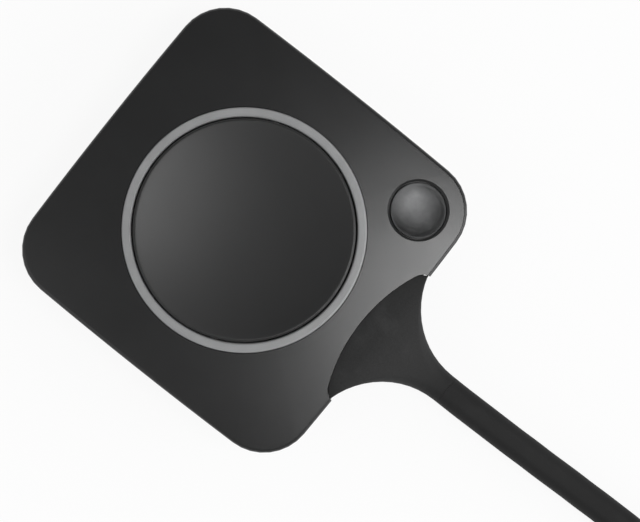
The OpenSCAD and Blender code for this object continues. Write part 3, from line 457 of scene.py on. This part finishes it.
# %% Fasteners and inner pieces
feet = twin("feet", "rubber_feet", flat=True, edge=0.25)
small_pieces = {}
for node, name, edge in [
        ("case_screws", "case_screws_steel", 0.08), ("board_screws", "board_screws_steel", 0.06),
        ("carrier_screws", "carrier_screws_steel", 0.06), ("clamp_screws", "clamp_screws_steel", 0.06),
        ("button_carrier", "carrier_plate", 0.0), ("cable_clamp", "clamp_strap", 0.06),
        ("cable_header", "cable_connector", 0.08), ("main_board", "circuit_board", 0.0),
        ("status_leds", "ring_leds", 0.05), ("shield_frame", "can_frame", 0.0),
        ("shield_lid", "can_lid", 0.06), ("processor", "processor_chip", 0.05),
        ("memory_chip", "memory_package", 0.05), ("thermal_pad", "gap_pad", 0.05),
        ("radio_module", "radio_can", 0.08), ("antennas", "antenna_strips", 0.0),
        ("crystal", "crystal_can", 0.1), ("passive_parts", "small_chips", 0.04),
        ("switch_body", "switch_case", 0.08), ("switch_terminals", "switch_legs", 0.02),
        ("switch_cover", "switch_plate", 0.03), ("switch_plunger", "switch_stem", 0.08)]:
    body = "plunger" if node == "switch_plunger" else "root"
    small_pieces[node] = twin(node, name, body, flat=True, edge=edge)

# %% [markdown]
# ## The snap dome
# Under the switch's stem sits a thin steel dome that snaps flat when the button is pressed. The CAD dome is
# rigid, so the stem would go through it. Its twin here only gets a mesh of its own; nothing flattens it.

# %% Snap dome twin with a mesh of its own
dome = twin("switch_dome", "snap_dome", smooth=60)
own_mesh(dome)

# %% [markdown]
# ## The wires
# Four thin wires run from the cable's end to the board's connector, each in its own colour. They are one
# CAD node, so its twin is separated into its loose parts. One piece with four materials would do too, but
# each face would then have to be given its wire's material.

# %% Four wires, one piece each
loom = twin("wire_loom", "wire", smooth=60)
only(loom)
bpy.ops.object.mode_set(mode="EDIT")
bpy.ops.mesh.separate(type="LOOSE")
bpy.ops.object.mode_set(mode="OBJECT")
wires = sorted(bpy.context.selected_objects, key=lambda w: w.bound_box[0][1])
print("wires:", [w.name for w in wires])

# %% [markdown]
# ## Writing materials as sums
# A material's pattern is arithmetic on noise and on places. Wiring Math nodes by hand hides that
# arithmetic, so a small class wraps a socket and overloads the operators: an expression such as 1 - mask
# adds its own nodes. Every other node comes from one method, which the pieces' materials, the floor and the
# world share. Colours go through a Mix node, because a Math node would turn them grey.

# %% Sockets to calculate with
class Value:
    """A socket that can be calculated with; each operator adds the Math node that it stands for."""

    def __init__(self, nodes, socket):
        self.nodes, self.socket = nodes, socket

    def maths(self, operation, *terms):
        return self.nodes.add("ShaderNodeMath", {"operation": operation}, terms)

    def __add__(self, other):
        return self.maths("ADD", self, other)

    def __sub__(self, other):
        return self.maths("SUBTRACT", self, other)

    def __rsub__(self, other):
        return self.maths("SUBTRACT", other, self)

    def __mul__(self, other):
        return self.maths("MULTIPLY", self, other)

    def __or__(self, other):
        return self.maths("MAXIMUM", self, other)

    __radd__, __rmul__ = __add__, __mul__

    def rising(self, low, high):
        """0 below low, 1 above high and smooth between."""
        return self.nodes.add("ShaderNodeMapRange", {"interpolation_type": "SMOOTHSTEP"},
                              [self, low, high, 0.0, 1.0])


# %% Adding nodes
class Nodes:
    """The nodes of a material or of the world."""

    def __init__(self, owner):
        owner.use_nodes = True
        self.owner, self.tree = owner, owner.node_tree

    def feed(self, socket, value):
        if isinstance(value, Value):
            self.tree.links.new(value.socket, socket)
        else:
            socket.default_value = value

    def add(self, kind, settings=None, sockets=(), out=0):
        """Add a node of this type, with its settings first and then the values or links of its sockets."""
        node = self.tree.nodes.new(kind)
        for name, value in (settings or {}).items():
            setattr(node, name, value)
        for key, value in sockets.items() if isinstance(sockets, dict) else enumerate(sockets):
            self.feed(node.inputs[key], value)
        return Value(self, node.outputs[out])

    def show(self, shader):
        """Make this shader the surface, in place of the one that a new tree starts with."""
        output = next(n for n in self.tree.nodes if n.type in ("OUTPUT_MATERIAL", "OUTPUT_WORLD"))
        self.tree.nodes.remove(output.inputs["Surface"].links[0].from_node)
        self.feed(output.inputs["Surface"], shader)


# %% The finish of a piece
class Finish(Nodes):
    """The material of a piece: its nodes, and the Principled shader that they feed."""

    def __init__(self, name, **constants):
        super().__init__(bpy.data.materials.new(name))
        self.shader = next(n for n in self.tree.nodes if n.type == "BSDF_PRINCIPLED")
        self.place = self.add("ShaderNodeTexCoord", out="Object")
        for socket, value in constants.items():
            self.set(socket.replace("_", " "), value)

    def set(self, socket, value):
        self.feed(self.shader.inputs[socket], value)

    def noise(self, size, detail=2.0, rough=0.5, stretch=(1, 1, 1)):
        """Noise whose blobs are so many mm wide; stretch makes them longer along an axis."""
        place = self.add("ShaderNodeMapping", {}, {"Vector": self.place, "Scale": [1 / s for s in stretch]})
        return self.add("ShaderNodeTexNoise", {}, {
            "Vector": place, "Scale": 1 / (size * MM), "Detail": detail, "Roughness": rough})

    def along(self, axis):
        """The place along one axis, in mm."""
        return self.add("ShaderNodeSeparateXYZ", {}, [self.place], out=axis) * (1 / MM)

    def mix(self, share, first, second):
        return self.add("ShaderNodeMix", {"data_type": "RGBA"}, {0: share, 6: first, 7: second}, out=2)

    def bumpy(self, height, depth):
        """Turn a height into a bumped surface, so many mm deep."""
        self.set("Normal", self.add("ShaderNodeBump", {}, {
            "Strength": 1.0, "Distance": depth * MM, "Height": height}))


# %% Greys, and dressing pieces
def grey(level, tint=0.0):
    """A neutral colour; a positive tint makes it slightly cooler."""
    return (level * (1 - tint), level, level * (1 + tint), 1)


def dress(pieces, finish, slot):
    """Give one piece or a list of pieces this finish, and print the record's slot that it belongs to."""
    pieces = pieces if isinstance(pieces, list) else [pieces]
    for piece in pieces:
        piece.data.materials.clear()
        piece.data.materials.append(finish.owner)
    print(slot, "on", len(pieces), "piece(s)")


# %% [markdown]
# ## Moulded plastic
# The housing is dark satin plastic. Its mould was spark-eroded, which leaves a grain half a millimetre wide
# and very shallow on the top and the button, and a deeper, duller one on the lower shell. Too small to see
# from half a metre, the grain still spreads the gloss, and a slow change of roughness keeps the reflection
# from looking computed. A flat colour with one roughness would be simpler and would look like paint. The
# top's roughness stays below 0.27, because the denoiser draws faint lines where it crosses that value.

# %% Housing, button and base plastics
cloud_size, darkest, lightest, gloss_change = 14.0, 0.82, 1.2, 0.06


def moulded(name, level, gloss, grain_size, depth, tint=0.02, speckle=0.3, shine=0.5):
    """Satin moulded plastic: a fine grain in the bump, and slow changes of tone and gloss."""
    plastic = Finish(name, Specular_IOR_Level=shine)
    grain = plastic.noise(grain_size, 3.0, 0.6)
    cloud = plastic.noise(cloud_size, 3.0, 0.6)
    tone = (1 - speckle) * cloud + speckle * grain
    plastic.set("Base Color", plastic.mix(tone, grey(level * darkest, tint), grey(level * lightest, tint)))
    plastic.set("Roughness", gloss - gloss_change / 2 + gloss_change * cloud)
    plastic.bumpy(grain, depth)
    return plastic


shell_plastic = moulded("satin_charcoal", level=0.0085, gloss=0.25, grain_size=0.5, depth=0.0015, speckle=0.0)
base_plastic = moulded("grained_charcoal", level=0.014, gloss=0.48, grain_size=0.35, depth=0.03)
button_plastic = moulded("button_satin", level=0.0072, gloss=0.36, grain_size=0.5, depth=0.0015, speckle=0.0,
                         shine=0.46)
dress(top_housing, shell_plastic, "shell_plastic")
dress(bottom_housing, base_plastic, "base_plastic")
dress(button, button_plastic, "button_plastic")

# %% [markdown]
# ## The ring, the disc and the rubbers
# Unlit, the milky ring looks a plain mid grey. The disc is turned metal, so its brushing runs in circles
# round its own middle. A plain noise would do for a cast disc, but the circles catch the light as a lathe's
# marks do. The boot and the cable are the same matt rubber-like plastic, whose colour is painted darker
# towards the cable: a painted shade.

# %% Ring and disc
milky = Finish("milky_guide", Specular_IOR_Level=0.5, IOR=1.49)
haze = milky.noise(3.0, 2.0)
milky.set("Base Color", milky.mix(haze, grey(0.235, 0.01), grey(0.295, 0.01)))
milky.set("Roughness", 0.30 + 0.08 * haze)
dress(ring, milky, "clear_ring")

rings_per_mm = 9.0
disc_metal = Finish("turned_disc", Metallic=1.0)
across = disc_metal.along(0) - badge_place
up = disc_metal.along(1) - badge_place
reach = disc_metal.add("ShaderNodeMath", {"operation": "SQRT"}, [across * across + up * up])
rings = disc_metal.add("ShaderNodeTexNoise", {"noise_dimensions": "1D"},
                       {"W": reach * rings_per_mm, "Detail": 3.0})
worn = disc_metal.noise(1.6, 4.0, 0.6)
# Painted shade: the disc's colour darkens towards its rim, and a narrow band at the very edge is painted
# dark.
painted_rim_shade = (1.15 - 0.55 * reach.rising(2.2, badge_r)) * (1 - 0.7 * reach.rising(4.3, 4.6))
bright = (0.4 * rings + 0.6 * worn) * painted_rim_shade
disc_metal.set("Base Color", disc_metal.mix(bright, grey(0.021, 0.01), grey(0.096, 0.01)))
disc_metal.set("Roughness", 0.26 + 0.10 * worn)
disc_metal.bumpy(rings, 0.006)
dress(badge, disc_metal, "badge_metal")


# %% Boot, cable, feet and grip rubbers
patch_size = 6.0


def rubber(name, level, grain_size, depth, gloss=0.62, dark_share=0.55, painted_shade_span=None):
    """Matt rubber-like plastic: a soft grain, rubbed patches; the last argument paints it darker from one X
    to another as painted shade.
    """
    soft = Finish(name, Specular_IOR_Level=0.3)
    grain = soft.noise(grain_size, 3.0, 0.6)
    rubbed = soft.noise(patch_size, 4.0, 0.6).rising(0.5, 0.8)
    tone = 0.62 * grain + 0.25 * rubbed
    # Painted shade: the tone is made darker from one X to the next, towards the cable.
    if painted_shade_span:
        tone = tone * (1 - 0.85 * soft.along(0).rising(*painted_shade_span))
    soft.set("Base Color", soft.mix(tone, grey(level * dark_share, 0.01), grey(level * 1.6, 0.01)))
    soft.set("Roughness", gloss + 0.1 * grain - 0.06 * rubbed)
    soft.bumpy(grain, depth)
    return soft


# The boot's and cable's colour is painted darker from X 34 mm to 50 mm: painted shade.
soft_black = {"level": 0.024, "grain_size": 0.3, "depth": 0.015, "dark_share": 0.2, "painted_shade_span": (34.0, 50.0)}
dress([boot, plug_grip], rubber("boot_rubber", **soft_black), "boot_rubber")
dress(cable, rubber("cable_jacket", **soft_black), "cable_rubber")
dress(feet, rubber("foot_rubber", level=0.015, grain_size=0.5, depth=0.04, gloss=0.8), "foot_rubber")


# %% [markdown]
# ## Metals and boards inside
# Screws, cans, legs and the plug's shell are plated or tinned steel: bright, with streaks along the rolling
# direction or a slight mottling. The board carries fine copper tracks under a green mask, with small bright
# pads: square cells, each with stripes along X, along Y or none, look more like a real layout than noise
# does. Chips, carrier and connector are moulded plastics like the housing's, each with its own colour.

# %% Metals
def darker(colour, share=0.8):
    """A darker shade of a colour of three parts, made into one of four."""
    return (*[c * share for c in colour], 1)


spot_size, spot_depth, dull_size = 0.6, 0.004, 5.0


def metal(name, colour, gloss, streak=(1, 1, 1)):
    """Plated metal with faint streaks or spots."""
    plate = Finish(name, Metallic=1.0)
    spots = plate.noise(spot_size, 4.0, 0.65, streak)
    dull = plate.noise(dull_size, 3.0)
    plate.set("Base Color", plate.mix(0.5 * spots + 0.5 * dull, darker(colour), (*colour, 1)))
    plate.set("Roughness", gloss + 0.12 * spots)
    plate.bumpy(spots, spot_depth)
    return plate


steel = metal("screw_steel", (0.50, 0.50, 0.51), gloss=0.28)
sheet_steel = metal("plug_steel", (0.72, 0.72, 0.72), gloss=0.18, streak=(8, 1, 1))
tinned = metal("tinned_sheet", (0.68, 0.68, 0.66), gloss=0.30)
gold = metal("contact_gold", (0.85, 0.62, 0.25), gloss=0.2, streak=(6, 1, 1))
dress([small_pieces[n] for n in ("case_screws", "board_screws", "carrier_screws", "clamp_screws")], steel,
      "screw_steel")
dress(small_pieces["cable_clamp"], tinned, "screw_steel")
dress(plug_shell, sheet_steel, "plug_steel")
dress(dome, tinned, "tinned_metal")
dress(plug_contacts, gold, "contact_gold")
dress([small_pieces[n] for n in ("shield_frame", "shield_lid", "radio_module", "antennas", "crystal",
                                 "switch_cover", "switch_terminals")], tinned, "tinned_metal")

# %% Circuit board
track_pitch, cell_scale, pad_scale = 0.7, 190.0, 420.0
waves = 2 * pi / track_pitch
mask = Finish("green_mask", Coat_Weight=0.4, Coat_Roughness=0.15)
cells = mask.add("ShaderNodeTexVoronoi", {"distance": "CHEBYCHEV"},
                 {"Vector": mask.place, "Scale": cell_scale}, out="Color")
turned_cell, filled_cell = [
    mask.add("ShaderNodeSeparateXYZ", {}, [cells], out=k).rising(0.45, 0.46) for k in (0, 1)]
along_x, along_y = [
    mask.add("ShaderNodeMath", {"operation": "SINE"}, [mask.along(k) * waves]).rising(0.2, 0.5)
    for k in (1, 0)]
tracks = filled_cell * (turned_cell * along_x + (1 - turned_cell) * along_y)
dots = mask.add("ShaderNodeTexVoronoi", {}, {"Vector": mask.place, "Scale": pad_scale})
pads = 1 - dots.rising(0.16, 0.2)
green = mask.mix(tracks, (0.008, 0.07, 0.03, 1), (0.02, 0.16, 0.06, 1))
mask.set("Base Color", mask.mix(pads, green, (0.6, 0.56, 0.42, 1)))
mask.set("Metallic", pads)
mask.set("Roughness", 0.42 - 0.1 * tracks)
mask.bumpy(tracks + pads, 0.03)
dress(small_pieces["main_board"], mask, "board_green")

# %% Chips, plastics and wires
chip = moulded("chip_epoxy", 0.02, 0.5, 0.2, 0.02)
dress([small_pieces[n] for n in ("processor", "memory_chip", "switch_body")], chip, "chip_plastic")
ceramic = moulded("chip_ceramic", 0.16, 0.45, 0.3, 0.01, tint=-0.2)
dress(small_pieces["passive_parts"], ceramic, "chip_plastic")
dress(small_pieces["button_carrier"], moulded("carrier_nylon", 0.10, 0.5, 0.3, 0.02), "carrier_plastic")
white = moulded("white_nylon", 0.7, 0.4, 0.4, 0.01, tint=0.0)
dress([small_pieces[n] for n in ("cable_header", "status_leds", "switch_plunger")] + [plug_tongue], white,
      "white_plastic")
dress(small_pieces["thermal_pad"], rubber("gap_pad", level=0.4, grain_size=0.5, depth=0.03), "pad_rubber")
wire_colours = [(0.5, 0.02, 0.02), (0.75, 0.75, 0.72), (0.03, 0.3, 0.07), (0.01, 0.01, 0.01)]
for wire, colour in zip(wires, wire_colours):
    jacket = Finish(wire.name.replace(".", "_") + "_jacket")
    speck = jacket.noise(0.4, 2.0)
    jacket.set("Base Color", jacket.mix(speck, darker(colour), (*colour, 1)))
    jacket.set("Roughness", 0.4 + 0.1 * speck)
    dress(wire, jacket, "wire_copper")

# %% [markdown]
# ## Floor and light
# The photograph has a pure white ground, and one large soft light from the side where the cable leaves: the
# body is brightest at that corner and falls off smoothly. A small softbox high on that side gives the same
# slope on the crowned top and the dished button. A wide one low on the same side and a weak one opposite
# lift the side walls, which are dark otherwise. The world is white at the horizon, so that a low view has a
# white ground too, and dimmer overhead, so that the top stays dark. The floor glows white to the camera and
# in reflections, and for the rest it is pale paper, which keeps a faint shadow.

# %% Floor
floor_size, floor_drop, paper_grey, glow_share = 6.0, 0.02, 0.86, 0.9
bpy.ops.object.select_all(action="DESELECT")
bpy.ops.mesh.primitive_plane_add(size=floor_size, location=(0, 0, -floor_drop * MM))
floor = bpy.context.object
floor.name = "pale_floor"
ground = Nodes(bpy.data.materials.new("pale_ground"))
paper = ground.add("ShaderNodeBsdfDiffuse", {}, {"Color": grey(paper_grey)})
glow = ground.add("ShaderNodeEmission")
camera_ray, glossy_ray, glass_ray = [
    ground.add("ShaderNodeLightPath", out=f"Is {kind} Ray") for kind in ("Camera", "Glossy", "Transmission")]
share = (camera_ray | glossy_ray | glass_ray) * glow_share
ground.show(ground.add("ShaderNodeMixShader", {}, [share, paper, glow]))
floor.data.materials.append(ground.owner)
print("floor", floor_size, "m wide")

# %% World and lamps
horizon_strength, zenith_strength, horizon_top, zenith_low = 1.0, 0.28, 0.1, 0.8
scene.world = bpy.data.worlds.new("plain_studio")
studio = Nodes(scene.world)
way = studio.add("ShaderNodeTexCoord", out="Generated")
height = studio.add("ShaderNodeSeparateXYZ", {}, [way], out="Z")
strength = horizon_strength + (zenith_strength - horizon_strength) * height.rising(horizon_top, zenith_low)
studio.show(studio.add("ShaderNodeBackground", {}, {"Color": grey(1.0), "Strength": strength}))


def softbox(name, turn, tilt, distance, width, power):
    """A square area lamp that looks at the button from a turn round Z and a tilt from straight above."""
    bpy.ops.object.select_all(action="DESELECT")
    lean, side = radians(tilt), radians(turn)
    way = Vector((sin(lean) * cos(side), sin(lean) * sin(side), cos(lean)))
    bpy.ops.object.light_add(type="AREA", location=way * distance)
    lamp = bpy.context.object
    lamp.name = name
    lamp.rotation_mode = "QUATERNION"
    lamp.rotation_quaternion = way.to_track_quat("Z", "Y")
    lamp.data.size = width
    lamp.data.energy = power
    lamp.visible_camera = False
    print(name, "at", [round(c, 2) for c in lamp.location])


softbox("key_softbox", turn=18, tilt=18, distance=1.1, width=0.34, power=3.5)
softbox("side_softbox", turn=20, tilt=66, distance=1.1, width=0.9, power=6.0)
softbox("fill_softbox", turn=245, tilt=36, distance=1.2, width=0.7, power=1.6)
